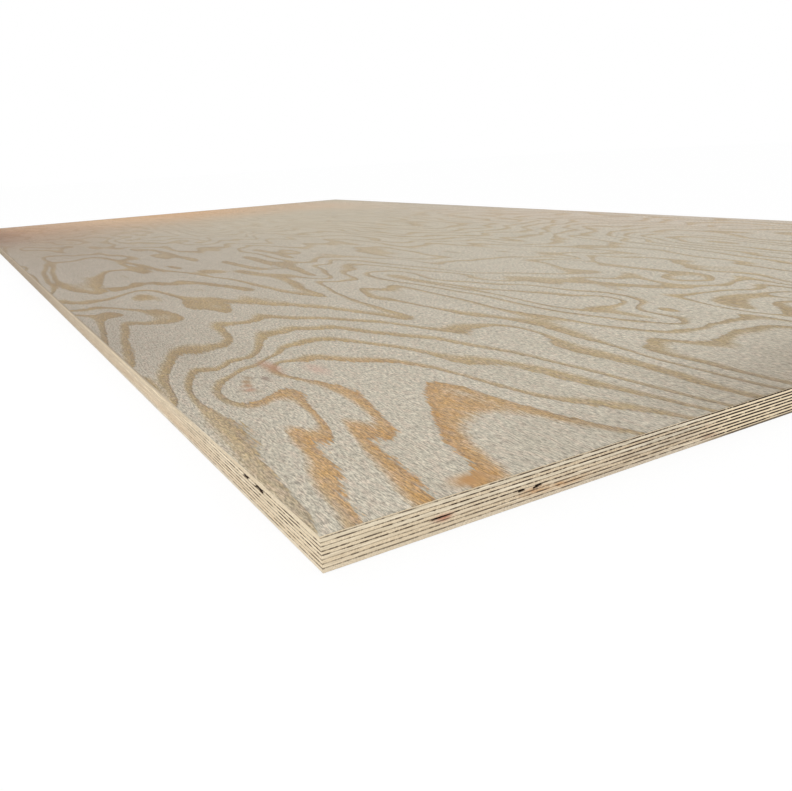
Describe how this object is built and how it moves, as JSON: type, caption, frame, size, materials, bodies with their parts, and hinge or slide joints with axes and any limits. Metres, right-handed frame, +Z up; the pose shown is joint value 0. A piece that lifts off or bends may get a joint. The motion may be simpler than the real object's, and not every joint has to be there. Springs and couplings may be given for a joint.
{
  "type": "plywood sheet",
  "caption": "Full rectangular sheet of cross-banded softwood plywood, lying flat, with sawn edges that show its plies.",
  "frame": {"origin": "centre of the sheet's underside", "axes": "+X along the sheet's length and the grain of its face, +Y across its width, +Z up out of the face veneer"},
  "size_m": [2.44, 1.22, 0.018],
  "materials": {
    "face_veneer": "matte",
    "cross_ply": "matte",
    "long_ply": "matte",
    "back_veneer": "matte"
  },
  "bodies": {
    "root": {"face_veneer": "face_veneer", "cross_ply_2": "cross_ply", "long_ply_3": "long_ply", "cross_ply_4": "cross_ply", "long_ply_5": "long_ply", "cross_ply_6": "cross_ply", "long_ply_7": "long_ply", "cross_ply_8": "cross_ply", "back_veneer": "back_veneer"}
  },
  "joints": []
}
